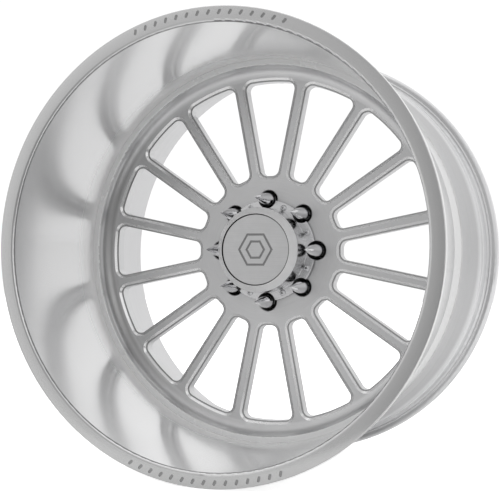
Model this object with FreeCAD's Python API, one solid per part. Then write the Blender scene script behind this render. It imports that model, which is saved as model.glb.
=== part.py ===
import FreeCAD, Part
import math
import os

from FreeCAD import Vector

# Deep-lip forged truck wheel, 26 x 16 in, eight lugs on a 170 mm circle, with its centre cap, its spiked lug
# nuts and its tyre valve. Millimetres. The wheel turns about Y. Its outboard face looks along -Y, +Z is up, and
# the origin is on the axle line, half-way between the two outer faces.

INCH = 25.4

# Rim contour
BEAD_SEAT_R = 665.2 / 2          # the standard bead seat of a 26 in rim
FLANGE_HEIGHT = 17.4
FLANGE_R = BEAD_SEAT_R + FLANGE_HEIGHT
RIM_WIDTH = 16 * INCH            # between the tyre sides of the two flanges
FLANGE_THICKNESS = 17.8
REAR_Y = RIM_WIDTH / 2 + FLANGE_THICKNESS
FRONT_Y = -REAR_Y
BEAD_Y = RIM_WIDTH / 2
BEAD_SEAT_LENGTH = 21.5
BEAD_TAPER = math.tan(math.radians(5))
FLANGE_CURVE_R = 5.5
FLANGE_STEP_R = 339.4            # small step in each flange's tyre side
FLANGE_STEP = 3.2
BEAD_CORNER_R = 4.0
HUMP_R = 332.3
HUMP_START = 4.2                 # from the end of the bead seat to the top of the hump
HUMP_TOP = 10.0
HUMP_RUN_OUT = 1.8
SHOULDER_R = 329.7               # where the hump runs out
BARREL_R = 321.5                 # outside of the rim's waist
BORE_R = 316.0                   # inside of the waist, where the disc's ring seats
LIP_INNER_R = 326.9              # inner edge of the lip's flat front face
LIP_ROOT_R = 314.0               # where the lip's inner wall meets the disc
WAIST_FRONT_Y = -18.0            # the waist between these two is the tyre well
WAIST_REAR_Y = 110.0
REAR_LIP_R = 330.0

# Seam between the two rim halves
SEAM_Y = 41.0
SEAM_HALF_WIDTH = 3.8
SEAM_ROOT = 1.2

# Disc
SHELF_Y = 8.0                    # front of the disc's outer ring
SHELF_INNER_R = 305.0
COVE_R = 19.0                    # hollow curve from the ring down to the spokes
FACE_Y = 36.0                    # front of the spokes and of the hub
PLATE_BACK_Y = 60.0
MOUNTING_Y = 101.0               # the face that meets the vehicle's hub
SPOKES = 16
WINDOW_OUTER_R = 281.8
WINDOW_INNER_R = 125.0
SPOKE_HALF_WIDTH = 10.4
WINDOW_CORNER_R = 11.5
WINDOW_STEP = 2.3                # ledge milled round each window
WINDOW_STEP_DEPTH = 4.1
WINDOW_BEVEL = 3.7               # bevel outside the ledge
WINDOW_BEVEL_DEPTH = 2.6
WINDOW_BEVEL_OVERRUN = 1.5       # how far the bevel's cutter starts in front of the spokes
BACK_BEVEL = 1.0
HUB_BOSS_R = 108.0
HUB_BORE_R = 62.5
HUB_BORE_CHAMFER = 1.5

# Lugs
LUGS = 8
LUG_CIRCLE_R = 85.0
POCKET_R = 15.2
POCKET_CHAMFER = 1.3
SEAT_TOP_R = 12.5
SEAT_TOP_Y = 78.0
STUD_HOLE_R = 7.9
SEAT_SLOPE = math.tan(math.radians(30))   # 60 degree conical seat
NUT_GAP = 0.5                    # axial play between nut and seat
NUT_R = 11.2
NUT_BASE_R = 8.4
NUT_TOP_Y = 38.0
NUT_THREAD_R = 6.3
NUT_THREAD_END_Y = 44.0
NUT_FLUTES = 6
NUT_FLUTE_R = 1.4
BOSS_R = 7.0
BOSS_END_Y = 27.0
SPIKE_R = 11.0
SPIKE_SHOULDER_Y = 31.0
SPIKE_TIP_Y = -26.0
SPIKE_TIP_R = 0.5
SPIKE_BULGE = 1.0
SPIKE_SOCKET_CLEARANCE = 0.08
SPIKE_SOCKET_END_Y = 25.0
SPIKE_GAP = 0.2

# Centre cap
CAP_WALL_R = 69.1
CAP_INSIDE_R = 65.1
CAP_FLANGE_R = 83.5
CAP_FLANGE_THICKNESS = 6.0
GASKET_THICKNESS = 1.0
CAP_RIM_R = 57.9
CAP_FRONT_Y = -25.0
CAP_BEVEL = CAP_WALL_R - CAP_RIM_R
CAP_FACE_THICKNESS = 5.0
SCALLOP_R = 15.4
CAP_SCREW_CIRCLE_R = 75.5
CAP_SCREW_R = 3.0
CAP_SCREW_HEAD_R = 5.25
CAP_SCREW_HEAD_HEIGHT = 3.3
CAP_SCREW_LENGTH = 22.0
CAP_SCREW_HOLE_R = 3.05
CAP_SCREW_HOLE_END_Y = 54.0
CAP_SCREW_SOCKET = 4.0           # across flats
BADGE_R = 57.3
BADGE_THICKNESS = 4.0
BADGE_RECESS = 2.0
BADGE_SPIGOT_R = 50.1
BADGE_SPIGOT_LENGTH = 9.0
CAP_EYE_R = 50.4
O_RING_R = 54.3
O_RING_SECTION_R = 0.85
SNAP_RING_WIDTH = 4.1
SNAP_RING_THICKNESS = 1.4
SNAP_GROOVE_R = 48.3
EMBLEM_DEPTH = 0.8
EMBLEM_SIZES = (30.0, 17.0)      # from the middle to a corner of each hexagon
EMBLEM_LINE = 3.4

# Slanted slots engraved in the lip face, one row at the top and one at the bottom
SLOTS_PER_ROW = 15
SLOT_PITCH_DEG = 2.9
SLOT_LENGTH = 8.5
SLOT_WIDTH = 4.2
SLOT_DEPTH = 0.6
SLOT_SLANT_DEG = 28.0
SLOT_R = 340.6

# Tyre valve, in the floor of the tyre well at the top. Its own lengths run outwards along Z.
VALVE_Y = 96.0
VALVE_HOLE_R = 5.75
VALVE_SPOT_R = 9.6
VALVE_SEAT_OUT = 321.1
VALVE_SEAT_IN = 316.2
STEM_R = 3.95
STEM_BORE_R = 2.5
STEM_TIP = 291.5
STEM_HEAD_R = 8.4
STEM_HEAD_THICKNESS = 2.5
GROMMET_R = 8.6
GROMMET_THICKNESS = 2.0
VALVE_WASHER_R = 8.2
VALVE_WASHER_THICKNESS = 1.5
VALVE_NUT_FLATS = 13.0
VALVE_NUT_THICKNESS = 5.0
CORE_START = 293.1
CORE_END = 304.5
CORE_R = 2.45
CORE_CHAMBER_R = 1.9
CORE_CHAMBER = (295.5, 303.0)
PIN_R = 0.8
PIN_CLEARANCE = 0.08
PIN_START = 291.8
PIN_END = 307.0
PIN_COLLAR = (295.7, 296.7)
PIN_COLLAR_R = 1.6
SPRING_R = 1.35
SPRING_WIRE_R = 0.2
SPRING_TURNS = 6
VALVE_CAP_END = 288.5
VALVE_CAP_MOUTH = 299.5
VALVE_CAP_R = 5.2
VALVE_CAP_CLEARANCE = 0.08
CAP_SEAL_THICKNESS = 1.0
VALVE_CAP_FLUTES = 14

ORIGIN = Vector(0, 0, 0)
AXLE = Vector(0, 1, 0)


def save(name, *solids):
    """Write one node: a single solid, or a group of loose ones."""
    shape = solids[0] if len(solids) == 1 else Part.makeCompound(list(solids))
    for solid in shape.Solids:
        if not solid.isValid():
            print("not valid:", name)
    shape.exportStep(os.path.join("parts", name + ".step"))
    print(name, len(shape.Solids), round(shape.Volume))


def round_corner(before, corner, after, radius):
    """The arc of this radius that rounds a corner: where it starts, its middle and where it ends."""
    to_before = (before - corner).normalize()
    to_after = (after - corner).normalize()
    half = to_before.getAngle(to_after) / 2
    bisector = (to_before + to_after).normalize()
    centre = corner + bisector * (radius / math.sin(half))
    tangent = radius / math.tan(half)
    return corner + to_before * tangent, centre - bisector * radius, corner + to_after * tangent


def outline(corners):
    """Closed wire in the XY plane through (r, y) corners; a third number rounds that corner."""
    points = [Vector(c[0], c[1], 0) for c in corners]
    edges = []
    ends = []
    for i, corner in enumerate(corners):
        if len(corner) == 3:
            start, middle, end = round_corner(points[i - 1], points[i], points[(i + 1) % len(points)], corner[2])
            edges.append(Part.Arc(start, middle, end).toShape())
            ends.append((start, end))
        else:
            ends.append((points[i], points[i]))
    for i, (start, end) in enumerate(ends):
        following = ends[(i + 1) % len(ends)][0]
        if end.distanceToPoint(following) > 1e-6:
            edges.append(Part.LineSegment(end, following).toShape())
    return Part.Wire(Part.__sortEdges__(edges))


def turned(corners):
    """Solid of revolution about Y of an outline of (r, y) corners."""
    return Part.Face(outline(corners)).revolve(ORIGIN, AXLE, 360)


def tube(outer_r, inner_r, start, end):
    return turned([(inner_r, start), (outer_r, start), (outer_r, end), (inner_r, end)])


def rod(radius, start, end):
    return Part.makeCylinder(radius, end - start, Vector(0, start, 0), AXLE)


def torus(radius, section_r, y):
    return Part.makeTorus(radius, section_r, Vector(0, y, 0), AXLE)


def hexagon(across_flats, start, end):
    """Six-sided prism along Y."""
    corner_r = across_flats / 2 / math.cos(math.pi / 6)
    corners = [Vector(corner_r * math.cos(a), start, corner_r * math.sin(a))
               for a in [math.radians(60 * k) for k in range(7)]]
    return Part.Face(Part.makePolygon(corners)).extrude(Vector(0, end - start, 0))


def turn_to(shape, degrees):
    """A copy turned about the axle, anticlockwise as seen from the front: +X is 0 and +Z is 90."""
    copy = shape.copy()
    copy.rotate(ORIGIN, AXLE, -degrees)
    return copy


def around(shape, count, first=0.0):
    """Evenly spaced copies of a shape that stands at angle 0."""
    return [turn_to(shape, first + 360.0 * k / count) for k in range(count)]


def moved(shape, x=0.0, y=0.0, z=0.0):
    copy = shape.copy()
    copy.translate(Vector(x, y, z))
    return copy


def bead_outline(side):
    """Tyre side of one flange, from its outer face to the hump's run-out; side is -1 in front and 1 behind."""
    seat_end = BEAD_Y - BEAD_SEAT_LENGTH
    hump = seat_end - HUMP_START
    return [
        (FLANGE_R, side * REAR_Y, 1.5),
        (FLANGE_R, side * (BEAD_Y + FLANGE_STEP), FLANGE_CURVE_R),
        (FLANGE_STEP_R, side * (BEAD_Y + FLANGE_STEP), 1.0),
        (FLANGE_STEP_R, side * BEAD_Y, 1.2),
        (BEAD_SEAT_R, side * BEAD_Y, BEAD_CORNER_R),
        (BEAD_SEAT_R - BEAD_SEAT_LENGTH * BEAD_TAPER, side * seat_end, 3),
        (HUMP_R, side * hump, 3),
        (HUMP_R, side * (hump - HUMP_TOP), 1.5),
        (SHOULDER_R, side * (hump - HUMP_TOP - HUMP_RUN_OUT), 1.5),
    ]


def lip_slots():
    """Cutters for the two rows of slanted slots in the lip's front face."""
    slot = Part.makeBox(SLOT_LENGTH, 2 * SLOT_DEPTH, SLOT_WIDTH,
                        Vector(-SLOT_LENGTH / 2, FRONT_Y - SLOT_DEPTH, -SLOT_WIDTH / 2))
    slot = slot.makeFillet(SLOT_WIDTH * 0.45, [e for e in slot.Edges if abs(e.tangentAt(0).y) > 0.9])
    slot.rotate(ORIGIN, AXLE, SLOT_SLANT_DEG)
    slot.translate(Vector(SLOT_R, 0, 0))
    middle = (SLOTS_PER_ROW - 1) / 2
    return [turn_to(slot, row + (k - middle) * SLOT_PITCH_DEG) for row in (90, 270) for k in range(SLOTS_PER_ROW)]


def on_valve(shape):
    """Stand a shape that lies along Y on the valve's axis, along Z."""
    copy = shape.copy()
    copy.rotate(ORIGIN, Vector(1, 0, 0), 90)
    copy.translate(Vector(0, VALVE_Y, 0))
    return copy


def outer_lip():
    """Front half of the rim: flange, bead seat and the deep tapering lip, with a register for the disc."""
    body = turned(
        [(LIP_INNER_R, FRONT_Y, 4.5)]
        + bead_outline(-1)
        + [
            (BARREL_R, WAIST_FRONT_Y, 30),
            (BARREL_R, SEAM_Y - SEAM_HALF_WIDTH),
            (BORE_R + SEAM_ROOT, SEAM_Y),
            (BORE_R, SEAM_Y),
            (BORE_R, SHELF_Y),
            (LIP_ROOT_R, SHELF_Y),
        ]
    )
    return body.cut(lip_slots())


def inner_barrel():
    """Rear half of the rim: rest of the tyre well, with the valve's hole, then the rear bead seat and flange."""
    body = turned(
        [
            (BORE_R, SEAM_Y),
            (BORE_R + SEAM_ROOT, SEAM_Y),
            (BARREL_R, SEAM_Y + SEAM_HALF_WIDTH),
            (BARREL_R, WAIST_REAR_Y, 25),
        ]
        + bead_outline(1)[::-1]
        + [
            (REAR_LIP_R, REAR_Y, 5),
            (BORE_R, WAIST_REAR_Y + 3, 25),
        ]
    )
    valve_cuts = [
        on_valve(rod(VALVE_HOLE_R, VALVE_SEAT_IN - 10, VALVE_SEAT_OUT + 10)),
        on_valve(rod(VALVE_SPOT_R, VALVE_SEAT_OUT, VALVE_SEAT_OUT + 10)),
        on_valve(rod(VALVE_SPOT_R, VALVE_SEAT_IN - 10, VALVE_SEAT_IN)),
    ]
    return body.cut(valve_cuts)


def rim_seam_weld():
    """Crowned bead that fills the V between the two rim halves."""
    start = Vector(BARREL_R, SEAM_Y - SEAM_HALF_WIDTH, 0)
    end = Vector(BARREL_R, SEAM_Y + SEAM_HALF_WIDTH, 0)
    root = Vector(BORE_R + SEAM_ROOT, SEAM_Y, 0)
    crown = Part.Arc(start, Vector(BARREL_R + 0.9, SEAM_Y, 0), end).toShape()
    sides = [Part.LineSegment(end, root).toShape(), Part.LineSegment(root, start).toShape()]
    return Part.Face(Part.Wire([crown] + sides)).revolve(ORIGIN, AXLE, 360)


def center_rear_weld():
    """Fillet weld between the back of the disc's ring and the barrel."""
    leg = 6.0
    corner = Vector(BORE_R, PLATE_BACK_Y, 0)
    on_disc = Vector(BORE_R - leg, PLATE_BACK_Y, 0)
    on_barrel = Vector(BORE_R, PLATE_BACK_Y + leg, 0)
    face = Part.Arc(on_disc, Vector(BORE_R - 0.62 * leg, PLATE_BACK_Y + 0.62 * leg, 0), on_barrel).toShape()
    legs = [Part.LineSegment(on_barrel, corner).toShape(), Part.LineSegment(corner, on_disc).toShape()]
    return Part.Face(Part.Wire([face] + legs)).revolve(ORIGIN, AXLE, 360)


def window_wire():
    """Outline of the window at angle 0: two spoke flanks, an arc outside, a straight end inside, round corners."""
    half_pitch = math.pi / SPOKES

    def corner(radius, side):
        angle = side * (half_pitch - math.asin(SPOKE_HALF_WIDTH / radius))
        return Vector(radius * math.cos(angle), 0, radius * math.sin(angle))

    inner = [corner(WINDOW_INNER_R, side) for side in (-1, 1)]
    outer = [corner(WINDOW_OUTER_R, side) for side in (-1, 1)]
    edges = [
        Part.LineSegment(inner[0], outer[0]).toShape(),
        Part.Arc(outer[0], Vector(WINDOW_OUTER_R, 0, 0), outer[1]).toShape(),
        Part.LineSegment(outer[1], inner[1]).toShape(),
        Part.LineSegment(inner[1], inner[0]).toShape(),
    ]
    prism = Part.Face(Part.Wire(edges)).extrude(Vector(0, 10, 0))
    uprights = [e for e in prism.Edges if abs(e.tangentAt(e.FirstParameter).y) > 0.99]
    rounded = prism.makeFillet(WINDOW_CORNER_R, uprights)
    base = [f for f in rounded.Faces if f.BoundBox.YMax < 1e-6][0]
    return base.OuterWire


def window_cutter():
    """A window with the ledge and bevel milled round its front edge and a small bevel behind."""
    wall = window_wire()
    ledge = wall.makeOffset2D(WINDOW_STEP)
    rim = wall.makeOffset2D(WINDOW_STEP + WINDOW_BEVEL * (1 + WINDOW_BEVEL_OVERRUN / WINDOW_BEVEL_DEPTH))
    back = wall.makeOffset2D(BACK_BEVEL)
    through = Part.Face(moved(wall, y=FACE_Y - 5)).extrude(Vector(0, PLATE_BACK_Y - FACE_Y + 10, 0))
    step = Part.Face(moved(ledge, y=FACE_Y - 5)).extrude(Vector(0, 5 + WINDOW_STEP_DEPTH, 0))
    bevel = Part.makeLoft([moved(rim, y=FACE_Y - WINDOW_BEVEL_OVERRUN), moved(ledge, y=FACE_Y + WINDOW_BEVEL_DEPTH)],
                          True, True)
    back_bevel = Part.makeLoft([moved(wall, y=PLATE_BACK_Y - BACK_BEVEL), moved(back, y=PLATE_BACK_Y)], True, True)
    return through.fuse([step, bevel, back_bevel])


def lug_cutter():
    """Pocket, conical seat and stud hole of one lug, on the lug at angle 0."""
    seat_end_y = SEAT_TOP_Y + (SEAT_TOP_R - STUD_HOLE_R) / SEAT_SLOPE
    cutter = turned(
        [
            (0, FACE_Y - 1),
            (POCKET_R + POCKET_CHAMFER + 1, FACE_Y - 1),
            (POCKET_R, FACE_Y + POCKET_CHAMFER),
            (POCKET_R, SEAT_TOP_Y, 1.5),
            (SEAT_TOP_R, SEAT_TOP_Y),
            (STUD_HOLE_R, seat_end_y),
            (STUD_HOLE_R, MOUNTING_Y + 1),
            (0, MOUNTING_Y + 1),
        ]
    )
    return moved(cutter, x=LUG_CIRCLE_R)


def back_pocket():
    """Lightening pocket in the mounting face, half-way between two lugs."""
    length = 23.0
    width = 17.0
    depth = 16.0
    pocket = Part.makeBox(length, depth + 1, width, Vector(76, MOUNTING_Y - depth, -width / 2))
    return pocket.makeFillet(width * 0.45, [e for e in pocket.Edges if abs(e.tangentAt(0).y) > 0.9])


def forged_center():
    """One forging: hub pad, sixteen spokes and the outer ring that the rim is welded to."""
    body = turned(
        [
            (HUB_BORE_R + 1, FACE_Y),
            (SHELF_INNER_R, FACE_Y, COVE_R),
            (SHELF_INNER_R, SHELF_Y, 1.6),
            (BORE_R, SHELF_Y),
            (BORE_R, PLATE_BACK_Y),
            (HUB_BOSS_R, PLATE_BACK_Y, 8),
            (HUB_BOSS_R, MOUNTING_Y, 2),
            (HUB_BORE_R + HUB_BORE_CHAMFER, MOUNTING_Y),
            (HUB_BORE_R, MOUNTING_Y - HUB_BORE_CHAMFER),
            (HUB_BORE_R, FACE_Y + 1),
        ]
    )
    between_lugs = 180.0 / LUGS
    screw_hole = moved(rod(CAP_SCREW_HOLE_R, FACE_Y - 1, CAP_SCREW_HOLE_END_Y), x=CAP_SCREW_CIRCLE_R)
    cutters = around(window_cutter(), SPOKES)
    cutters += around(lug_cutter(), LUGS)
    cutters += around(screw_hole, LUGS, between_lugs)
    cutters += around(back_pocket(), LUGS, between_lugs)
    return body.cut(cutters)


def flange_cuts(scallop_r, hole_r):
    """Scallops round the lugs and holes for the screws, through the cap's flange."""
    scallop = moved(rod(scallop_r, FACE_Y - 20, FACE_Y + 1), x=LUG_CIRCLE_R)
    hole = moved(rod(hole_r, FACE_Y - 20, FACE_Y + 1), x=CAP_SCREW_CIRCLE_R)
    return around(scallop, LUGS) + around(hole, LUGS, 180.0 / LUGS)


def cap_housing():
    """Turned cup with a bevelled nose and a scalloped flange."""
    flange_back = FACE_Y - GASKET_THICKNESS
    flange_front = flange_back - CAP_FLANGE_THICKNESS
    badge_seat = CAP_FRONT_Y + BADGE_RECESS + BADGE_THICKNESS
    face_back = badge_seat + CAP_FACE_THICKNESS
    body = turned(
        [
            (CAP_EYE_R, badge_seat),
            (CAP_RIM_R, badge_seat),
            (CAP_RIM_R, CAP_FRONT_Y),
            (CAP_RIM_R + 0.6, CAP_FRONT_Y),
            (CAP_WALL_R, CAP_FRONT_Y + CAP_BEVEL, 1.5),
            (CAP_WALL_R, flange_front, 1),
            (CAP_FLANGE_R, flange_front, 0.8),
            (CAP_FLANGE_R, flange_back),
            (CAP_INSIDE_R, flange_back),
            (CAP_INSIDE_R, face_back + 4, 2),
            (CAP_INSIDE_R - 4, face_back),
            (CAP_EYE_R, face_back),
        ]
    )
    groove = tube(O_RING_R + 1.1, O_RING_R - 1.1, badge_seat - 1, badge_seat + 2 * O_RING_SECTION_R)
    return body.cut([groove] + flange_cuts(SCALLOP_R, CAP_SCREW_R + 0.3))


def emblem_cutter(front):
    """Two plain hexagon outlines, one inside the other."""
    cutters = []
    for size in EMBLEM_SIZES:
        flats = 2 * size * math.cos(math.pi / 6)
        outside = hexagon(flats, front - 1, front + EMBLEM_DEPTH)
        inside = hexagon(flats - 2 * EMBLEM_LINE, front - 1, front + EMBLEM_DEPTH)
        cutters.append(outside.cut(inside))
    return cutters


def cap_badge():
    """Badge disc with a spigot that passes through the cap's face."""
    front = CAP_FRONT_Y + BADGE_RECESS
    seat = front + BADGE_THICKNESS
    spigot_end = seat + BADGE_SPIGOT_LENGTH
    groove_start = seat + CAP_FACE_THICKNESS + 0.1
    groove_end = groove_start + SNAP_RING_THICKNESS + 0.1
    body = turned(
        [
            (0, front),
            (BADGE_R, front, 0.8),
            (BADGE_R, seat),
            (BADGE_SPIGOT_R, seat),
            (BADGE_SPIGOT_R, groove_start),
            (SNAP_GROOVE_R, groove_start),
            (SNAP_GROOVE_R, groove_end),
            (BADGE_SPIGOT_R, groove_end),
            (BADGE_SPIGOT_R, spigot_end),
            (BADGE_SPIGOT_R - 4, spigot_end),
            (BADGE_SPIGOT_R - 4, seat),
            (0, seat),
        ]
    )
    return body.cut(emblem_cutter(front))


def badge_o_ring():
    seat = CAP_FRONT_Y + BADGE_RECESS + BADGE_THICKNESS
    return torus(O_RING_R, O_RING_SECTION_R, seat + O_RING_SECTION_R)


def badge_snap_ring():
    """Split ring in the spigot's groove, against the back of the cap's face."""
    start = CAP_FRONT_Y + BADGE_RECESS + BADGE_THICKNESS + CAP_FACE_THICKNESS + 0.15
    ring = tube(SNAP_GROOVE_R + 0.05 + SNAP_RING_WIDTH, SNAP_GROOVE_R + 0.05, start, start + SNAP_RING_THICKNESS)
    gap = Part.makeBox(20, 4, 9, Vector(SNAP_GROOVE_R - 8, start - 1, -4.5))
    return ring.cut(turn_to(gap, 270))


def cap_gasket():
    start = FACE_Y - GASKET_THICKNESS
    return tube(CAP_FLANGE_R - 0.5, CAP_INSIDE_R + 0.4, start, FACE_Y).cut(
        flange_cuts(SCALLOP_R + 0.3, CAP_SCREW_R + 0.5))


def cap_screw():
    """Button-head socket screw, on the screw circle at angle 0."""
    seat = FACE_Y - GASKET_THICKNESS - CAP_FLANGE_THICKNESS
    top = seat - CAP_SCREW_HEAD_HEIGHT
    tip = seat + CAP_SCREW_LENGTH
    body = turned(
        [
            (0, top),
            (CAP_SCREW_HEAD_R * 0.55, top, 1.2),
            (CAP_SCREW_HEAD_R, seat - 1.0, 1.5),
            (CAP_SCREW_HEAD_R, seat),
            (CAP_SCREW_R, seat),
            (CAP_SCREW_R, tip - 0.8),
            (CAP_SCREW_R - 0.8, tip),
            (0, tip),
        ]
    )
    socket = hexagon(CAP_SCREW_SOCKET, top - 1, top + 2.0)
    return moved(body.cut(socket), x=CAP_SCREW_CIRCLE_R)


def lug_nut():
    """Fluted nut with a conical seat and a threaded boss for its spike, on the lug at angle 0."""
    cone_y = SEAT_TOP_Y - NUT_GAP + (SEAT_TOP_R - NUT_R) / SEAT_SLOPE
    base_y = SEAT_TOP_Y - NUT_GAP + (SEAT_TOP_R - NUT_BASE_R) / SEAT_SLOPE
    body = turned(
        [
            (0, BOSS_END_Y),
            (BOSS_R - 0.8, BOSS_END_Y),
            (BOSS_R, BOSS_END_Y + 0.8),
            (BOSS_R, NUT_TOP_Y),
            (NUT_R - 0.8, NUT_TOP_Y),
            (NUT_R, NUT_TOP_Y + 0.8),
            (NUT_R, cone_y),
            (NUT_BASE_R, base_y),
            (NUT_THREAD_R + 0.9, base_y),
            (NUT_THREAD_R, base_y - 0.9),
            (NUT_THREAD_R, NUT_THREAD_END_Y + 2),
            (0, NUT_THREAD_END_Y),
        ]
    )
    flute = moved(rod(NUT_FLUTE_R, NUT_TOP_Y - 1, SEAT_TOP_Y - 4), x=NUT_R + 0.5)
    return moved(body.cut(around(flute, NUT_FLUTES)), x=LUG_CIRCLE_R)


def lug_spike():
    """Long pointed cap that screws on the nut's boss, on the lug at angle 0."""
    base = NUT_TOP_Y - SPIKE_GAP
    socket_r = BOSS_R + SPIKE_SOCKET_CLEARANCE
    middle = Vector((SPIKE_R + SPIKE_TIP_R) / 2 + SPIKE_BULGE, (SPIKE_SHOULDER_Y + SPIKE_TIP_Y) / 2, 0)
    shoulder = Vector(SPIKE_R, SPIKE_SHOULDER_Y, 0)
    tip_edge = Vector(SPIKE_TIP_R, SPIKE_TIP_Y + 0.15, 0)
    path = [
        Vector(0, SPIKE_TIP_Y, 0),
        tip_edge,
        shoulder,
        Vector(SPIKE_R, base, 0),
        Vector(socket_r, base, 0),
        Vector(socket_r, SPIKE_SOCKET_END_Y, 0),
        Vector(0, SPIKE_SOCKET_END_Y - 3, 0),
    ]
    edges = [Part.LineSegment(path[0], path[1]).toShape()]
    edges.append(Part.Arc(tip_edge, middle, shoulder).toShape())
    edges += [Part.LineSegment(path[i], path[(i + 1) % len(path)]).toShape() for i in range(2, len(path))]
    return moved(Part.Face(Part.Wire(edges)).revolve(ORIGIN, AXLE, 360), x=LUG_CIRCLE_R)


def valve_stem():
    """Hollow stem, from its head on the tyre side to its open tip inside the rim."""
    head_start = VALVE_SEAT_OUT + GROMMET_THICKNESS
    head_end = head_start + STEM_HEAD_THICKNESS
    return on_valve(turned(
        [
            (STEM_BORE_R, STEM_TIP),
            (STEM_R, STEM_TIP),
            (STEM_R, head_start),
            (STEM_HEAD_R, head_start),
            (STEM_HEAD_R, head_end, 1),
            (STEM_BORE_R, head_end),
        ]
    ))


def valve_grommet():
    """Rubber seal between the stem's head and the rim, with a sleeve through the hole."""
    return on_valve(turned(
        [
            (STEM_R + 0.05, VALVE_SEAT_IN + 0.3),
            (VALVE_HOLE_R - 0.05, VALVE_SEAT_IN + 0.3),
            (VALVE_HOLE_R - 0.05, VALVE_SEAT_OUT),
            (GROMMET_R, VALVE_SEAT_OUT),
            (GROMMET_R, VALVE_SEAT_OUT + GROMMET_THICKNESS),
            (STEM_R + 0.05, VALVE_SEAT_OUT + GROMMET_THICKNESS),
        ]
    ))


def valve_washer():
    start = VALVE_SEAT_IN - VALVE_WASHER_THICKNESS
    return on_valve(tube(VALVE_WASHER_R, STEM_R + 0.1, start, VALVE_SEAT_IN))


def valve_nut():
    end = VALVE_SEAT_IN - VALVE_WASHER_THICKNESS
    start = end - VALVE_NUT_THICKNESS
    chamfer = turned([(0, start), (VALVE_NUT_FLATS * 0.49, start), (VALVE_NUT_FLATS * 0.6, start + 1.2),
                      (VALVE_NUT_FLATS * 0.6, end), (0, end)])
    body = hexagon(VALVE_NUT_FLATS, start, end).common(chamfer)
    return on_valve(body.cut(rod(STEM_R + 0.02, start - 1, end + 1)))


def valve_core():
    """Threaded barrel of the core, with the chamber that holds the spring."""
    bore_r = PIN_R + PIN_CLEARANCE
    chamber_start, chamber_end = CORE_CHAMBER
    body = tube(CORE_R, bore_r, CORE_START, CORE_END)
    return on_valve(body.cut(rod(CORE_CHAMBER_R, chamber_start, chamber_end)))


def valve_pin():
    """Sprung pin: pushed inwards it lets air past its head."""
    collar_start, collar_end = PIN_COLLAR
    body = rod(PIN_R, PIN_START, PIN_END)
    collar = rod(PIN_COLLAR_R, collar_start, collar_end)
    head = rod(CORE_CHAMBER_R, CORE_END + 0.3, CORE_END + 1.8)
    return on_valve(body.fuse([collar, head]))


def valve_spring():
    """Coil between the pin's collar and the end of the core's chamber."""
    start = PIN_COLLAR[1] + SPRING_WIRE_R + 0.05
    length = CORE_CHAMBER[1] - SPRING_WIRE_R - 0.05 - start
    helix = Part.makeHelix(length / SPRING_TURNS, length, SPRING_R)
    section = Part.Wire(Part.makeCircle(SPRING_WIRE_R, Vector(SPRING_R, 0, 0), AXLE))
    coil = Part.Wire(helix).makePipeShell([section], True, True)
    coil.rotate(ORIGIN, Vector(1, 0, 0), -90)
    return on_valve(moved(coil, y=start))


def valve_cap():
    """Fluted dust cap with a closed end."""
    inner_r = STEM_R + VALVE_CAP_CLEARANCE
    seal_back = VALVE_CAP_END + 1.8
    body = turned(
        [
            (0, VALVE_CAP_END),
            (VALVE_CAP_R, VALVE_CAP_END, 1.2),
            (VALVE_CAP_R, VALVE_CAP_MOUTH),
            (inner_r, VALVE_CAP_MOUTH),
            (inner_r, seal_back),
            (0, seal_back),
        ]
    )
    flute = moved(rod(0.5, VALVE_CAP_END - 1, VALVE_CAP_MOUTH - 2), x=VALVE_CAP_R + 0.15)
    return on_valve(body.cut(around(flute, VALVE_CAP_FLUTES)))


def valve_cap_seal():
    start = VALVE_CAP_END + 1.8
    return on_valve(rod(STEM_R, start, start + CAP_SEAL_THICKNESS))


os.makedirs("parts", exist_ok=True)

save("outer_lip", outer_lip())
save("inner_barrel", inner_barrel())
save("forged_center", forged_center())
save("rim_seam_weld", rim_seam_weld())
save("center_rear_weld", center_rear_weld())

save("cap_housing", cap_housing())
save("cap_badge", cap_badge())
save("badge_o_ring", badge_o_ring())
save("badge_snap_ring", badge_snap_ring())
save("cap_gasket", cap_gasket())
save("cap_screws", *around(cap_screw(), LUGS, 180.0 / LUGS))

nut = lug_nut()
spike = lug_spike()
for number in range(LUGS):
    angle = 360.0 * number / LUGS
    save("lug_nut_%d" % (number + 1), turn_to(nut, angle))
    save("lug_spike_%d" % (number + 1), turn_to(spike, angle))

save("valve_stem", valve_stem())
save("valve_grommet", valve_grommet())
save("valve_washer", valve_washer())
save("valve_nut", valve_nut())
save("valve_core", valve_core())
save("valve_pin", valve_pin())
save("valve_spring", valve_spring())
save("valve_cap", valve_cap())
save("valve_cap_seal", valve_cap_seal())
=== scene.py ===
import bmesh
import bpy
from mathutils import Matrix, Vector


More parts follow.
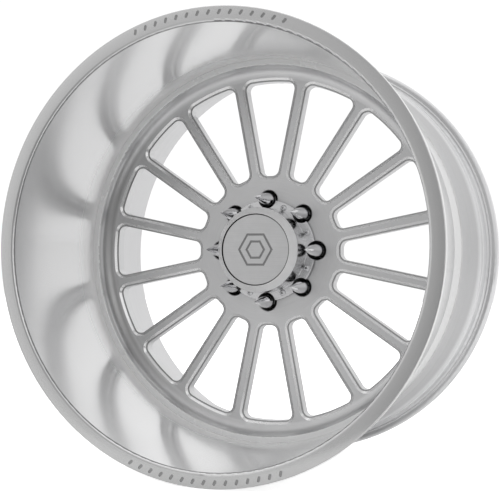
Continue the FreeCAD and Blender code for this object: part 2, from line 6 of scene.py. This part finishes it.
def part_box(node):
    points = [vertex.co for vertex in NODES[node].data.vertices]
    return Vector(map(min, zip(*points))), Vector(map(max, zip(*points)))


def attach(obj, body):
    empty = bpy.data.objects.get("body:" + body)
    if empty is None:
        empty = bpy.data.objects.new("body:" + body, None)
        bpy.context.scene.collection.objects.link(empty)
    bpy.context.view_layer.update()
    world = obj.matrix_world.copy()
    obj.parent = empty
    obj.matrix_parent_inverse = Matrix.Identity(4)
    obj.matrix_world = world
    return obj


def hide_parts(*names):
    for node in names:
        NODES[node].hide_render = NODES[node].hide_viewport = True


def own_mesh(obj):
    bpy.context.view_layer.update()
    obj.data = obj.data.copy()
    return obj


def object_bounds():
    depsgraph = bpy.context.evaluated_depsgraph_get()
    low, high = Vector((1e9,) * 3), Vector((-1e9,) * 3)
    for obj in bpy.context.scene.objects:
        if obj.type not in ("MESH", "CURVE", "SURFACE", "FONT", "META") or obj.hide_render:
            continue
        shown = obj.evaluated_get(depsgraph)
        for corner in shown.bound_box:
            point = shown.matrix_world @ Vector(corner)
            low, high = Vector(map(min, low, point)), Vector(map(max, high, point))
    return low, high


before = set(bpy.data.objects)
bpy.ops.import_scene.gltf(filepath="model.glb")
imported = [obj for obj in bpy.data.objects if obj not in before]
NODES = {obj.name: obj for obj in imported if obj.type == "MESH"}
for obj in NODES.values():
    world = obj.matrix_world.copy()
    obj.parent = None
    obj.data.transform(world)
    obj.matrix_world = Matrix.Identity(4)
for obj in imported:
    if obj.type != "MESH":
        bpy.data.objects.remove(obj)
CAD_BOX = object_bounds()

# Where things are, in metres: Y runs along the axle from front to back, and R is a distance from it.
LIP_FRONT_Y = CAD_BOX[0].y
LIP_FLANGE_BACK_Y = -0.205
LIP_ROOT_Y = (-0.045, 0.002)                # where the lip's wall turns in towards the disc
LIP_CROWN_R = 0.3395                        # middle of the lip's flat face, very slightly crowned
LIP_SLOTS_R = (0.3335, 0.3472)              # the engraved slots lie between these
BARREL_REAR_Y = (0.145, 0.165)              # the tyre well ends and the rear bead seat begins
FACE_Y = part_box("cap_gasket")[1].y          # the hub's face, where the cap sits
CAP_FLANGE_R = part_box("cap_housing")[1].x
LUG_POCKETS_R = (0.066, 0.1035)
LUG_POCKETS_BACK_Y = 0.092
WINDOWS_R = (0.112, 0.290)
COVE_R = (0.289, 0.3046)                    # the groove round the windows
SHELF_R = 0.3055                            # the flat ledge outside the cove
SHELF_BACK_Y = 0.0125
BADGE_FRONT_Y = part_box("cap_badge")[0].y
BADGE_ENGRAVED_R = 0.045
BADGE_RIM_R = 0.0562
BADGE_RECESS_R = 0.0582
NOSE_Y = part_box("cap_housing")[0].y + 0.0115  # back of the cap's bevelled nose


# ---------------------------------------------------------------- node trees

class Tree:
    """Adds nodes to a node tree and joins them up."""

    def __init__(self, tree):
        self.tree = tree
        tree.nodes.clear()

    def node(self, kind, settings=None, **inputs):
        made = self.tree.nodes.new(kind)
        for key, value in (settings or {}).items():
            setattr(made, key, value)
        for key, value in inputs.items():
            self.put(value, self.socket(made, key))
        return made

    def socket(self, node, key):
        if key[0] == "_":
            return node.inputs[int(key[1:])]
        return node.inputs[key.replace("_", " ")]

    def put(self, value, target):
        if isinstance(value, bpy.types.NodeSocket):
            self.tree.links.new(value, target)
        else:
            target.default_value = value

    def math(self, operation, a, b=0.0, clamp=False):
        settings = {"operation": operation, "use_clamp": clamp}
        return self.node("ShaderNodeMath", settings, _0=a, _1=b).outputs[0]

    def times(self, *factors):
        product = factors[0]
        for factor in factors[1:]:
            product = self.math("MULTIPLY", product, factor)
        return product

    def below(self, value, edge):
        return self.math("LESS_THAN", value, edge)

    def above(self, value, edge):
        return self.math("GREATER_THAN", value, edge)

    def vector(self, operation, a, b=(0.0, 0.0, 0.0)):
        return self.node("ShaderNodeVectorMath", {"operation": operation}, _0=a, _1=b)

    def scaled(self, colour, level):
        made = self.vector("SCALE", colour)
        self.put(level, made.inputs["Scale"])
        return made.outputs[0]

    def combine(self, x, y, z):
        return self.node("ShaderNodeCombineXYZ", None, X=x, Y=y, Z=z).outputs[0]

    def split(self, vector):
        return self.node("ShaderNodeSeparateXYZ", None, Vector=vector).outputs

    def stretched(self, point, x_scale, y_scale, z_scale):
        """point with its three coordinates scaled, so that a noise turns into streaks."""
        x, y, z = self.split(point)
        return self.combine(self.times(x, x_scale), self.times(y, y_scale), self.times(z, z_scale))

    def between(self, value, low, high, to_low=0.0, to_high=1.0, smooth=False):
        """value, taken from low..high to to_low..to_high and held at the ends."""
        settings = {"interpolation_type": "SMOOTHSTEP" if smooth else "LINEAR", "clamp": True}
        made = self.node("ShaderNodeMapRange", settings, Value=value)
        made.inputs["From Min"].default_value = low
        made.inputs["From Max"].default_value = high
        made.inputs["To Min"].default_value = to_low
        made.inputs["To Max"].default_value = to_high
        return made.outputs[0]

    def noise(self, vector, scale, detail=3.0, roughness=0.5, w=None):
        settings = {"noise_dimensions": "3D" if w is None else "4D"}
        made = self.node("ShaderNodeTexNoise", settings, Vector=vector, Scale=scale, Detail=detail)
        made.inputs["Roughness"].default_value = roughness
        if w is not None:
            self.put(w, made.inputs["W"])
        return made.outputs[0]

    def mix_colour(self, share, a, b, blend="MIX"):
        made = self.tree.nodes.new("ShaderNodeMix")
        made.data_type = "RGBA"
        made.blend_type = blend
        self.put(share, made.inputs[0])
        self.put(a, made.inputs[6])
        self.put(b, made.inputs[7])
        return made.outputs[2]

    def bump(self, height, strength, distance, normal=None):
        made = self.node("ShaderNodeBump", None, Height=height, Strength=strength, Distance=distance)
        if normal is not None:
            self.put(normal, made.inputs["Normal"])
        return made.outputs[0]


def rgb(value):
    """A grey, or a colour from three numbers, with its alpha."""
    three = (value, value, value) if isinstance(value, (int, float)) else tuple(value)
    return (*three, 1.0)


def brighter(tone, factor):
    return rgb(min(1.0, channel * factor) for channel in tone)


def source(shader, name):
    """What is linked into one of the shader's sockets so far."""
    return shader.inputs[name].links[0].from_socket


def new_material(name):
    material = bpy.data.materials.new(name)
    material.use_nodes = True
    tree = Tree(material.node_tree)
    shader = tree.node("ShaderNodeBsdfPrincipled")
    out = tree.node("ShaderNodeOutputMaterial")
    tree.tree.links.new(shader.outputs[0], out.inputs["Surface"])
    return material, tree, shader


def place(tree):
    """The point being shaded, in the row frame."""
    return tree.node("ShaderNodeTexCoord").outputs["Object"]


def surface_normal(tree):
    return tree.node("ShaderNodeNewGeometry").outputs["Normal"]


def round_axle(tree, point):
    """(distance from the axle, distance along it, direction round it as a cosine and a sine)."""
    x, y, z = tree.split(point)
    flat = tree.combine(x, 0.0, z)
    r = tree.vector("LENGTH", flat).outputs["Value"]
    return r, y, tree.math("DIVIDE", x, r), tree.math("DIVIDE", z, r)


def outward(tree, point):
    """1 where the surface looks away from the axle, 0 where it looks towards it."""
    x, _, z = tree.split(point)
    flat = tree.combine(x, 0.0, z)
    away = tree.vector("DOT_PRODUCT", surface_normal(tree), flat).outputs["Value"]
    return tree.between(away, 0.0, 0.02)


def lathe_lines(tree, point, per_metre, drift):
    """Fine rings that a turning tool leaves: they change across the cut and hardly along it."""
    r, y, cosine, sine = round_axle(tree, point)
    across = tree.combine(tree.times(r, per_metre), tree.times(y, per_metre),
                          tree.times(cosine, drift))
    return tree.noise(across, 1.0, 2.0, 0.6, w=tree.times(sine, drift))


def hollows(tree, distance):
    """1 in the open, towards 0 deep in a corner or a pocket."""
    made = tree.node("ShaderNodeAmbientOcclusion", {"samples": 6}, Distance=distance)
    return made.outputs["AO"]


def edges(tree, radius):
    """(a normal that rounds sharp edges, 1 along a sharp edge and 0 on flat metal)."""
    soft = tree.node("ShaderNodeBevel", {"samples": 4}, Radius=radius).outputs[0]
    dot = tree.vector("DOT_PRODUCT", soft, surface_normal(tree)).outputs["Value"]
    return soft, tree.between(dot, 1.0, 0.80)


# ---------------------------------------------------------------- the wheel's own metal

def aluminium(name, tone, rough, lines, line_depth, swirl=0.0, pocket_shade=0.35, grain=0.0,
              edge=0.0008, drift=3.0, wear=1.0, aniso=0.5):
    """Bare forged aluminium: lathe or mill marks, smudges, rubbed edges and painted shade in
    corners.
    """
    material, tree, shader = new_material(name)
    point = place(tree)
    rings = lathe_lines(tree, point, lines, drift)
    smudge = tree.noise(point, 7.0, 4.0, 0.55)
    blotch = tree.noise(point, 38.0, 5.0, 0.6)
    speck = tree.noise(point, 900.0, 2.0, 0.5)
    soft, edge_mask = edges(tree, edge)

    # Painted shade: the colour darkens in corners and pockets where the occlusion node finds them;
    # rubbed edges are lighter.
    level = tree.times(
        tree.between(rings, 0.3, 0.7, 0.965, 1.02),
        tree.between(smudge, 0.35, 0.7, 1.0 - 0.03 * wear, 1.0 + 0.015 * wear),
        tree.between(hollows(tree, 0.012), 0.05, 0.75, pocket_shade, 1.0),
    )
    worn_and_shaded = tree.mix_colour(tree.times(edge_mask, 0.55), tree.scaled(tone, level),
                           brighter(tone, 1.22))
    tree.put(worn_and_shaded, shader.inputs["Base Color"])

    roughness = rough
    for change in (
        tree.between(smudge, 0.35, 0.75, -0.03 * wear, 0.07 * wear),
        tree.between(blotch, 0.4, 0.8, -0.012 * wear, 0.035 * wear),
        tree.times(edge_mask, -0.06),
    ):
        roughness = tree.math("ADD", roughness, change)
    tree.put(roughness, shader.inputs["Roughness"])

    normal = tree.bump(rings, 0.35, line_depth, soft)
    if grain:
        normal = tree.bump(speck, 0.5, grain, normal)
    if swirl:
        normal = tree.bump(blotch, 0.5, swirl, normal)
    tree.put(normal, shader.inputs["Normal"])

    shader.inputs["Metallic"].default_value = 1.0
    shader.inputs["Anisotropic"].default_value = aniso
    shader.inputs["Anisotropic Rotation"].default_value = 0.25
    tangent = tree.node("ShaderNodeTangent", {"direction_type": "RADIAL", "axis": "Y"})
    tree.put(tangent.outputs[0], shader.inputs["Tangent"])
    return material, tree, shader


def lip_metal():
    """Soft polish on the lip, with darker paint left in the slots engraved in its flat face."""
    material, tree, shader = aluminium("lip_metal", (0.76, 0.76, 0.765), 0.18, 1500.0, 0.00001,
                                       aniso=0.6, pocket_shade=0.9, drift=2.0, wear=0.3)
    point = place(tree)
    r, y, _, _ = round_axle(tree, point)
    outer_side = outward(tree, point)
    behind_front = tree.math("SUBTRACT", y, LIP_FRONT_Y)
    colour = source(shader, "Base Color")

    face = tree.between(behind_front, 0.0020, 0.0002)
    colour = tree.mix_colour(tree.times(face, 0.8), colour, rgb(0.55))

    outside = tree.times(outer_side, tree.above(y, LIP_FLANGE_BACK_Y))
    colour = tree.mix_colour(tree.times(outside, 0.9), colour, rgb(0.50))

    slot = tree.times(tree.between(behind_front, 0.0001, 0.0004),
                      tree.below(behind_front, 0.0012),
                      tree.between(r, LIP_SLOTS_R[0], LIP_SLOTS_R[0] + 0.0005),
                      tree.below(r, LIP_SLOTS_R[1]))
    colour = tree.mix_colour(tree.times(slot, 0.72), colour, rgb(0.11))

    # A painted shade line where the flat face rolls over into the wall.
    line = tree.times(tree.between(behind_front, 0.0022, 0.0026),
                      tree.between(behind_front, 0.0054, 0.0050),
                      tree.below(r, LIP_SLOTS_R[0] - 0.0035))
    colour = tree.mix_colour(tree.times(line, 0.7), colour, rgb(0.18))

    # Painted light: the lip's root is near-white and barely metallic, so that it looks brightly lit.
    root = tree.math("SUBTRACT", tree.between(y, *LIP_ROOT_Y), outer_side, clamp=True)
    colour = tree.mix_colour(root, colour, rgb(0.90))
    tree.put(colour, shader.inputs["Base Color"])
    tree.put(tree.between(root, 0.0, 1.0, 0.82, 0.10), shader.inputs["Metallic"])

    shader.inputs["Coat Weight"].default_value = 1.0
    shader.inputs["Coat Roughness"].default_value = 0.12
    shader.inputs["Coat IOR"].default_value = 1.8

    across = tree.math("SUBTRACT", r, LIP_CROWN_R)
    crown = tree.times(across, across, -3.5)
    on_face = tree.below(behind_front, 0.0001)
    tree.put(tree.bump(crown, on_face, 1.0, source(shader, "Normal")), shader.inputs["Normal"])
    return material


def barrel_metal():
    """Dull on the tyre well, brighter inside and on the rear bead seat, with painted shade in the
    grooves.
    """
    material, tree, shader = aluminium("barrel_metal", (0.56, 0.56, 0.565), 0.36, 900.0, 0.00002,
                                       aniso=0.6, pocket_shade=0.3, drift=2.0, wear=0.6)
    point = place(tree)
    _, y, _, _ = round_axle(tree, point)
    outer_side = outward(tree, point)
    dull = source(shader, "Base Color")
    bright = tree.mix_colour(1.0, dull, rgb(1.5), "MULTIPLY")
    rear = tree.times(outer_side, tree.between(y, *BARREL_REAR_Y))
    inside = tree.math("SUBTRACT", 1.0, outer_side)
    colour = tree.mix_colour(rear, dull, bright)
    colour = tree.mix_colour(tree.times(inside, 0.6), colour, bright)
    tree.put(colour, shader.inputs["Base Color"])
    return material


def disc_metal():
    """Satin milled disc with cutter marks in its windows, painted shade in its lug pockets, cove,
    window ledges and round the cap flange, and painted highlights on its window bevels and shelf.
    """
    material, tree, shader = aluminium("disc_metal", (0.73, 0.73, 0.735), 0.36, 1100.0, 0.000012,
                                       swirl=0.00002, aniso=0.5, pocket_shade=0.55, grain=0.00002,
                                       edge=0.0007)
    point = place(tree)
    r, y, _, sine = round_axle(tree, point)
    behind_face = tree.math("SUBTRACT", y, FACE_Y)
    facing = tree.split(surface_normal(tree))[1]
    wall = tree.between(tree.math("ABSOLUTE", facing), 0.6, 0.3)
    colour = source(shader, "Base Color")

    marks = tree.noise(tree.stretched(point, 700.0, 30.0, 700.0), 1.0, 2.0, 0.5)
    normal = tree.bump(tree.times(marks, wall), 0.5, 0.00008, source(shader, "Normal"))
    tree.put(normal, shader.inputs["Normal"])

    # Painted shade on the walls of the lug pockets.
    pocket_shade = tree.times(tree.between(r, LUG_POCKETS_R[0], LUG_POCKETS_R[0] + 0.003),
                        tree.between(r, LUG_POCKETS_R[1], LUG_POCKETS_R[1] - 0.003),
                        tree.between(behind_face, 0.0012, 0.008),
                        tree.between(y, LUG_POCKETS_BACK_Y, LUG_POCKETS_BACK_Y - 0.006),
                        wall)
    colour = tree.mix_colour(tree.times(pocket_shade, 0.75), colour, rgb(0.16))

    # Painted contact shadow: a dark ring on the disc just outside the cap flange.
    contact_shadow = tree.times(tree.above(r, CAP_FLANGE_R - 0.001),
                      tree.between(r, CAP_FLANGE_R + 0.0012, CAP_FLANGE_R + 0.0006),
                      tree.below(behind_face, 0.0005))
    colour = tree.mix_colour(tree.times(contact_shadow, 0.75), colour, rgb(0.08))

    # Painted shade in the cove: darkest at its sides, fading towards its top and bottom.
    cove = tree.times(tree.between(r, COVE_R[0], COVE_R[0] + 0.005),
                      tree.between(r, COVE_R[1], COVE_R[1] - 0.001))
    towards_top = tree.between(sine, 0.25, 0.90, 0.0, 0.80, smooth=True)
    towards_bottom = tree.between(sine, -0.50, -0.95, 0.0, 0.50, smooth=True)
    shade = tree.math("SUBTRACT", 0.80, tree.math("ADD", towards_top, towards_bottom))
    colour = tree.mix_colour(tree.times(cove, shade), colour, rgb(0.34))

    windows = tree.times(tree.above(r, WINDOWS_R[0]), tree.below(r, WINDOWS_R[1]))
    # Painted highlight: the window bevels are lighter.
    bevel = tree.times(windows,
                       tree.between(facing, -0.97, -0.93), tree.between(facing, -0.5, -0.6),
                       tree.below(behind_face, 0.0027), tree.above(behind_face, 0.0))
    colour = tree.mix_colour(bevel, colour, rgb(0.82))

    # Painted light: the shelf is near-white and barely metallic, so that it looks brightly lit.
    shelf = tree.times(tree.between(r, SHELF_R - 0.0025, SHELF_R), tree.below(y, SHELF_BACK_Y))
    colour = tree.mix_colour(shelf, colour, rgb(0.95))
    tree.put(tree.between(shelf, 0.0, 1.0, 1.0, 0.10), shader.inputs["Metallic"])

    # Painted shade: a dark line on the step of each window ledge.
    ledge = tree.times(tree.between(behind_face, 0.0026, 0.0031), tree.below(behind_face, 0.0043),
                       windows)
    colour = tree.mix_colour(tree.times(ledge, 0.45), colour, rgb(0.26))

    back = tree.between(facing, 0.3, 0.7, 0.0, 0.85)
    dimmed = tree.mix_colour(1.0, colour, rgb(0.62), "MULTIPLY")
    tree.put(tree.mix_colour(back, colour, dimmed), shader.inputs["Base Color"])

    polished = tree.times(tree.math("MAXIMUM", bevel, shelf), 0.12)
    tree.put(tree.math("SUBTRACT", source(shader, "Roughness"), polished),
             shader.inputs["Roughness"])
    return material


def weld_metal():
    """Ripples of a weld bead, with patches of grey scale."""
    material, tree, shader = new_material("weld_metal")
    point = place(tree)
    bits = tree.noise(point, 260.0, 4.0, 0.6)
    wide = tree.noise(point, 24.0, 3.0, 0.5)
    colour = tree.mix_colour(tree.between(wide, 0.42, 0.66), rgb(0.64), rgb((0.56, 0.555, 0.55)))
    colour = tree.mix_colour(tree.between(bits, 0.55, 0.8, 0.0, 0.4), colour, rgb(0.42))
    tree.put(colour, shader.inputs["Base Color"])
    tree.put(tree.between(bits, 0.3, 0.7, 0.32, 0.5), shader.inputs["Roughness"])
    tree.put(tree.bump(bits, 0.5, 0.0003), shader.inputs["Normal"])
    shader.inputs["Metallic"].default_value = 1.0
    return material


# ---------------------------------------------------------------- the cap, the lugs and the valve

def chrome(name, tone, rough, pocket_shade=0.5):
    """Bright plate with wipe marks, painted shade and a little dust in its corners, and slightly
    rounded edges.
    """
    material, tree, shader = new_material(name)
    point = place(tree)
    wipe = tree.noise(tree.vector("MULTIPLY", point, (1.0, 0.35, 1.0)).outputs[0], 60.0, 4.0, 0.6)
    fine = tree.noise(point, 420.0, 3.0, 0.5)
    soft, edge_mask = edges(tree, 0.0004)
    open_air = hollows(tree, 0.006)

    # Painted shade: the colour darkens in corners where the occlusion node finds them.
    level = tree.times(tree.between(open_air, 0.05, 0.7, pocket_shade, 1.0),
                       tree.between(fine, 0.3, 0.7, 0.97, 1.0))
    tree.put(tree.scaled(tone, level), shader.inputs["Base Color"])
    dust = tree.between(open_air, 0.6, 0.1, 0.0, 0.05)
    roughness = tree.math("ADD", tree.between(wipe, 0.45, 0.75, rough, rough + 0.07), dust)
    roughness = tree.math("ADD", roughness, tree.times(edge_mask, 0.05))
    tree.put(roughness, shader.inputs["Roughness"])
    tree.put(tree.bump(wipe, 0.25, 0.00003, soft), shader.inputs["Normal"])
    shader.inputs["Metallic"].default_value = 1.0
    return material, tree, shader


def cap_metal():
    """Chromed cap with a satin nose and painted shade where its face meets the badge."""
    material, tree, shader = chrome("cap_metal", (0.82, 0.82, 0.83), 0.18)
    point = place(tree)
    r, y, _, _ = round_axle(tree, point)
    nose = tree.between(y, NOSE_Y + 0.0005, NOSE_Y - 0.0005)
    colour = source(shader, "Base Color")
    colour = tree.mix_colour(tree.times(nose, 0.9), colour, rgb(0.98))
    # Painted shade in the recess round the badge.
    recess = tree.times(tree.below(r, BADGE_RECESS_R), tree.below(y, BADGE_FRONT_Y + 0.0045))
    tree.put(tree.mix_colour(recess, colour, rgb(0.02)), shader.inputs["Base Color"])
    roughness = tree.math("ADD", source(shader, "Roughness"), tree.times(nose, 0.22))
    tree.put(roughness, shader.inputs["Roughness"])
    tree.put(tree.between(nose, 0.0, 1.0, 1.0, 0.50), shader.inputs["Metallic"])
    return material


def badge_metal():
    """Straight-brushed badge with grey paint in its engraving and painted shade round its rim."""
    material, tree, shader = new_material("badge_metal")
    point = place(tree)
    r, y, _, _ = round_axle(tree, point)
    brushed = tree.noise(tree.stretched(point, 22.0, 22.0, 2600.0), 1.0, 3.0, 0.6)
    cloud = tree.noise(point, 45.0, 4.0, 0.6)
    soft, _ = edges(tree, 0.0004)

    level = tree.times(tree.between(brushed, 0.3, 0.7, 0.93, 1.04),
                       tree.between(cloud, 0.35, 0.7, 0.97, 1.02))
    colour = tree.scaled((0.72, 0.72, 0.725), level)
    engraved = tree.times(tree.between(y, BADGE_FRONT_Y + 0.0002, BADGE_FRONT_Y + 0.0006),
                          tree.below(y, BADGE_FRONT_Y + 0.0012),
                          tree.below(r, BADGE_ENGRAVED_R))
    colour = tree.mix_colour(tree.times(engraved, 0.8), colour, rgb(0.24))
    # Painted shade: a dark line round the badge's rim.
    rim = tree.between(r, BADGE_RIM_R, BADGE_RIM_R + 0.0006, 0.0, 0.9)
    tree.put(tree.mix_colour(rim, colour, rgb(0.04)), shader.inputs["Base Color"])

    roughness = tree.between(brushed, 0.3, 0.7, 0.30, 0.38)
    tree.put(tree.math("ADD", roughness, tree.times(engraved, 0.2)), shader.inputs["Roughness"])
    tree.put(tree.bump(brushed, 0.3, 0.00003, soft), shader.inputs["Normal"])
    shader.inputs["Metallic"].default_value = 1.0
    shader.inputs["Anisotropic"].default_value = 0.4
    return material


def seal_rubber():
    """Matt black rubber with a dusting of grey."""
    material, tree, shader = new_material("seal_rubber")
    point = place(tree)
    grain = tree.noise(point, 900.0, 4.0, 0.6)
    dust = tree.noise(point, 70.0, 4.0, 0.6)
    colour = tree.mix_colour(tree.between(dust, 0.45, 0.75, 0.0, 0.6), rgb(0.018), rgb(0.055))
    tree.put(colour, shader.inputs["Base Color"])
    tree.put(tree.between(grain, 0.3, 0.7, 0.62, 0.82), shader.inputs["Roughness"])
    tree.put(tree.bump(grain, 0.5, 0.0001), shader.inputs["Normal"])
    return material


def small_metal(name, tone, rough, lines):
    """Turned or drawn metal of a small fitting, with fine scratches and painted shade in its
    recesses.
    """
    material, tree, shader = new_material(name)
    point = place(tree)
    turned = tree.noise(tree.stretched(point, lines, 60.0, 60.0), 1.0, 2.0, 0.6)
    cloud = tree.noise(point, 160.0, 4.0, 0.6)
    soft, edge_mask = edges(tree, 0.0003)

    # Painted shade: the colour darkens in recesses where the occlusion node finds them.
    level = tree.times(tree.between(turned, 0.3, 0.7, 0.92, 1.04),
                       tree.between(hollows(tree, 0.004), 0.05, 0.7, 0.35, 1.0))
    worn_and_shaded = tree.mix_colour(tree.times(edge_mask, 0.5), tree.scaled(tone, level),
                           brighter(tone, 1.2))
    tree.put(worn_and_shaded, shader.inputs["Base Color"])
    tree.put(tree.between(cloud, 0.35, 0.7, rough, rough + 0.12), shader.inputs["Roughness"])
    tree.put(tree.bump(turned, 0.3, 0.00004, soft), shader.inputs["Normal"])
    shader.inputs["Metallic"].default_value = 1.0
    return material


# ---------------------------------------------------------------- which piece is made of what

def paint(material, *names):
    for name in names:
        data = NODES[name].data
        data.materials.clear()
        data.materials.append(material)


def numbered(word):
    return sorted(name for name in NODES if name.startswith(word))


paint(lip_metal(), "outer_lip")
paint(barrel_metal(), "inner_barrel")
paint(disc_metal(), "forged_center")
paint(weld_metal(), "rim_seam_weld", "center_rear_weld")
paint(cap_metal(), "cap_housing")
paint(badge_metal(), "cap_badge")
paint(seal_rubber(), "badge_o_ring", "cap_gasket", "valve_grommet", "valve_cap_seal")
paint(small_metal("spring_steel", (0.42, 0.42, 0.43), 0.28, 900.0),
      "badge_snap_ring", "valve_spring")
paint(chrome("screw_chrome", (0.74, 0.74, 0.75), 0.16, pocket_shade=0.12)[0], "cap_screws")
paint(chrome("lug_chrome", (0.84, 0.84, 0.85), 0.07, pocket_shade=0.3)[0],
      *numbered("lug_spike"), *numbered("lug_nut"))
paint(small_metal("valve_metal", (0.62, 0.62, 0.63), 0.25, 1400.0),
      "valve_stem", "valve_washer", "valve_nut")
paint(small_metal("valve_cap_metal", (0.66, 0.66, 0.67), 0.22, 1400.0), "valve_cap")
paint(small_metal("valve_brass", (0.66, 0.50, 0.24), 0.24, 1400.0), "valve_core", "valve_pin")


# ---------------------------------------------------------------- the valve's spring

def sprung(node, body):
    """A copy of a spring's mesh, hung from the given body in place of the spring."""
    coil = NODES[node].copy()
    coil.data = NODES[node].data.copy()
    coil.name = node + "_coil"
    bpy.context.scene.collection.objects.link(coil)
    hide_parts(node)
    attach(coil, body)
    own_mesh(coil)


sprung("valve_spring", "valve_pin")


# ---------------------------------------------------------------- floor, light and camera

def floor():
    """A pale sheet that starts a little in front of the wheel."""
    bm = bmesh.new()
    corners = [(-9.0, -0.62), (9.0, -0.62), (9.0, 12.0), (-9.0, 12.0)]
    bm.faces.new([bm.verts.new((x, y, 0.0)) for x, y in corners])
    mesh = bpy.data.meshes.new("studio_floor")
    bm.to_mesh(mesh)
    bm.free()
    made = bpy.data.objects.new("studio_floor", mesh)
    made.location = (0.0, 0.0, CAD_BOX[0].z - 0.0005)
    bpy.context.scene.collection.objects.link(made)
    material, tree, shader = new_material("pale_floor")
    cloud = tree.noise(place(tree), 3.0, 3.0, 0.5)
    tree.put(tree.mix_colour(cloud, rgb(0.92), rgb(0.95)), shader.inputs["Base Color"])
    shader.inputs["Roughness"].default_value = 0.7
    shader.inputs["Emission Color"].default_value = rgb(1.0)
    ray = tree.node("ShaderNodeLightPath").outputs["Is Camera Ray"]
    tree.put(tree.between(ray, 0.0, 1.0, 0.08, 0.75), shader.inputs["Emission Strength"])
    mesh.materials.append(material)


def studio():
    """A pale room, brighter behind and above the wheel, and dull where the viewer stands."""
    world = bpy.data.worlds.new("studio")
    bpy.context.scene.world = world
    world.use_nodes = True
    tree = Tree(world.node_tree)
    way = tree.node("ShaderNodeTexCoord").outputs["Generated"]
    _, _, z = tree.split(way)
    viewer = tree.vector("DOT_PRODUCT", way, (0.454, -0.891, 0.0)).outputs["Value"]
    level = tree.between(viewer, 0.40, 0.95, 0.83, 0.30, smooth=True)
    behind = tree.between(viewer, -0.80, -0.10, 0.10, 0.0, smooth=True)
    height = tree.between(z, 0.0, 0.5, 0.0, 0.12)
    strength = tree.math("ADD", tree.math("ADD", level, behind), height)
    lit = tree.node("ShaderNodeBackground", None, Color=rgb(1.0), Strength=strength)
    seen = tree.node("ShaderNodeBackground", None, Color=rgb(1.0), Strength=1.05)
    ray = tree.node("ShaderNodeLightPath").outputs["Is Camera Ray"]
    mixed = tree.node("ShaderNodeMixShader", None, _0=ray, _1=lit.outputs[0], _2=seen.outputs[0])
    tree.node("ShaderNodeOutputWorld", None, Surface=mixed.outputs[0])


def soft_box(name, place_at, aim, wide, tall, watts):
    data = bpy.data.lights.new(name, "AREA")
    data.shape = "RECTANGLE"
    data.size = wide
    data.size_y = tall
    data.energy = watts
    made = bpy.data.objects.new(name, data)
    made.location = place_at
    made.rotation_mode = "QUATERNION"
    made.rotation_quaternion = (Vector(aim) - Vector(place_at)).to_track_quat("-Z", "Y")
    bpy.context.scene.collection.objects.link(made)


def camera():
    """The viewer's place: to the right of the wheel, a little below its axle."""
    data = bpy.data.cameras.new("camera")
    data.sensor_width = 36.0
    data.lens = 80.83
    data.clip_start = 0.05
    data.clip_end = 60.0
    made = bpy.data.objects.new("camera", data)
    right = Vector((0.9303, 0.3667, 0.0090))
    ahead = Vector((-0.3668, 0.9300, 0.0229)).normalized()
    up = right.cross(ahead).normalized()
    right = ahead.cross(up).normalized()
    turn = Matrix((right, up, -ahead)).transposed().to_4x4()
    made.matrix_world = Matrix.Translation((0.6558, -1.7090, -0.0422)) @ turn
    bpy.context.scene.collection.objects.link(made)
    bpy.context.scene.camera = made


bpy.context.scene.view_settings.view_transform = "Standard"
floor()
studio()
soft_box("top_box", (-0.4, -0.6, 1.9), (0.0, 0.0, 0.0), 1.6, 1.0, 2.0)
soft_box("right_box", (1.5, -1.7, 0.5), (-0.1, 0.0, 0.0), 1.8, 1.4, 5.0)
camera()
